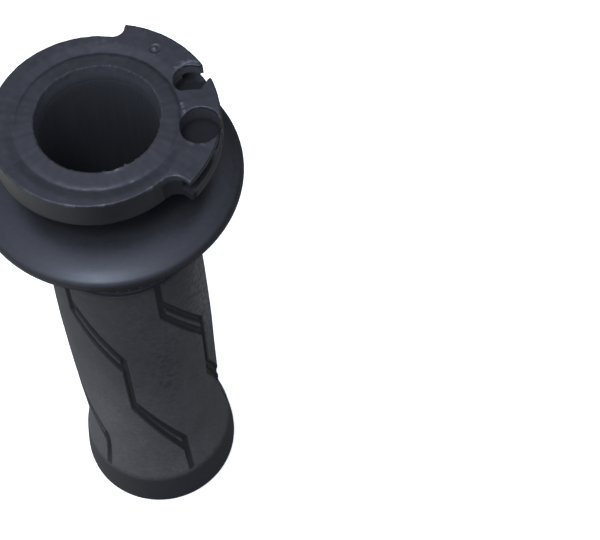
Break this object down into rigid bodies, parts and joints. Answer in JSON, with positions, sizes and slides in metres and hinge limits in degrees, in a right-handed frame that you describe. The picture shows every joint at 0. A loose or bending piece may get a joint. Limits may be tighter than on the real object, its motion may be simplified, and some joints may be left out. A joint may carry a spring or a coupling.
{
  "type": "throttle grip",
  "caption": "Motorcycle throttle grip: a sleeve with a cable drum and two cable pockets, inside a flanged rubber grip with a zigzag tread and a flared outer end.",
  "frame": {"origin": "on the axis of the handlebar bore, at the rubber's outer end face", "axes": "+Z along the bore axis from the outer end to the cable drum; the two cable pockets are towards +X"},
  "size_m": [0.0526, 0.0526, 0.1382],
  "materials": {
    "tube_nylon": "moulded black nylon, satin, worn at the edges",
    "cement": "dried rubber cement",
    "grip_rubber": "matt black moulded rubber"
  },
  "bodies": {
    "root": {"throttle_tube": "tube_nylon", "grip_cement": "cement", "rubber_grip": "grip_rubber"}
  },
  "joints": []
}
